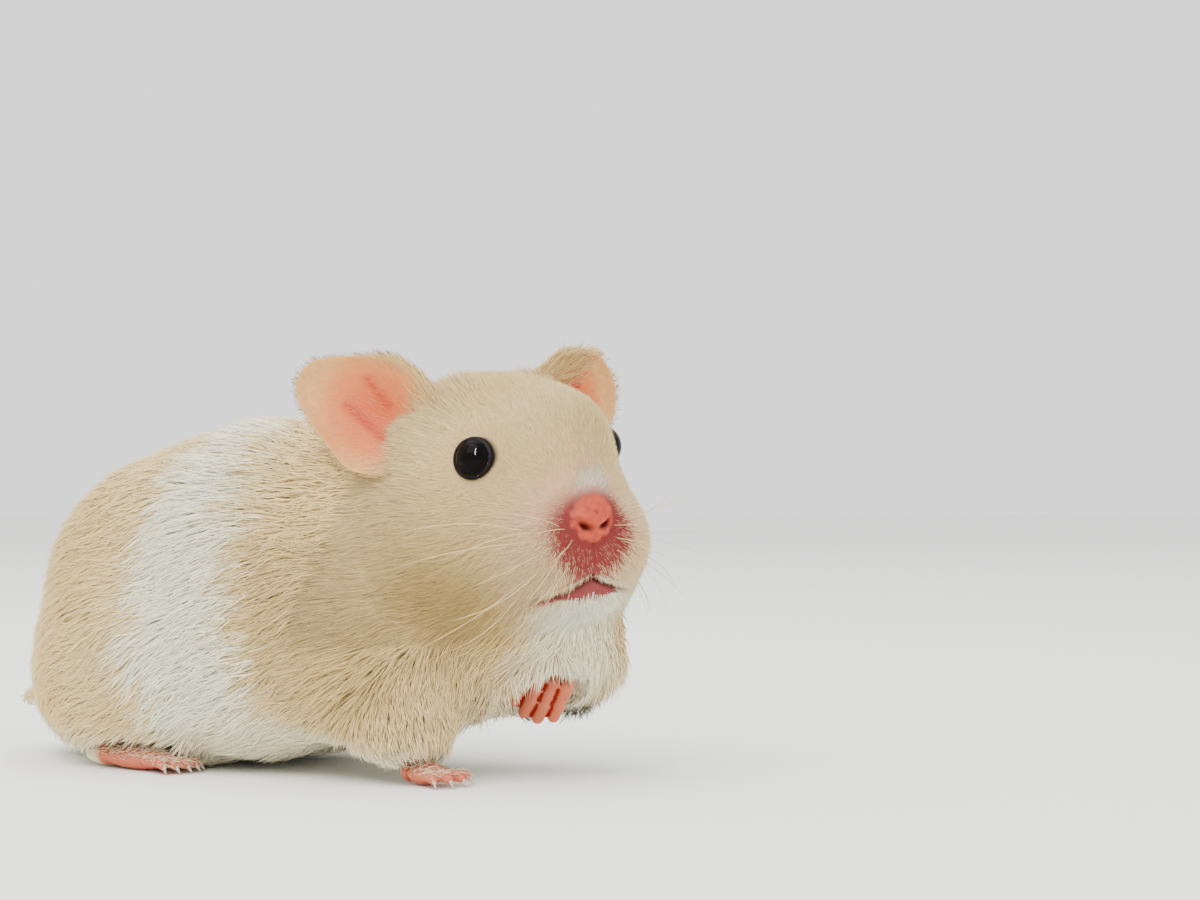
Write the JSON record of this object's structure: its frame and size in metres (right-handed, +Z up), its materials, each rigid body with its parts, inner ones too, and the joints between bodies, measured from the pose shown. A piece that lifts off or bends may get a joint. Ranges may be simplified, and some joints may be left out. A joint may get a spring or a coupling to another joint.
{
  "type": "syrian hamster",
  "caption": "Still, life-size model of a young cream-banded golden hamster on the floor, head turned, one forepaw lifted.",
  "frame": {"origin": "on the floor, under the middle of the animal's box", "axes": "-Y the way the trunk faces, +X the animal's left, +Z up"},
  "size_m": [0.047, 0.103, 0.0576],
  "materials": {
    "coat_cream": "short dense cream fur",
    "coat_white": "short dense white fur",
    "bare_skin": "bare pink skin with fine down",
    "eye": "wet black gloss"
  },
  "bodies": {
    "root": {"head": "coat_cream", "jaw": "coat_white", "nose": "bare_skin", "neck": "coat_cream", "shoulders": "coat_cream", "trunk": "coat_white", "rump": "coat_cream", "tail": "bare_skin", "eye_left": "eye", "ear_left": "bare_skin", "eye_right": "eye", "ear_right": "bare_skin", "foreleg_left": "coat_white", "foreleg_right": "coat_cream", "hindleg_left": "coat_cream", "hindleg_right": "coat_cream", "forepaw_right": "bare_skin", "forepaw_left": "bare_skin", "hindfoot_right": "bare_skin", "hindfoot_left": "bare_skin"}
  },
  "joints": []
}
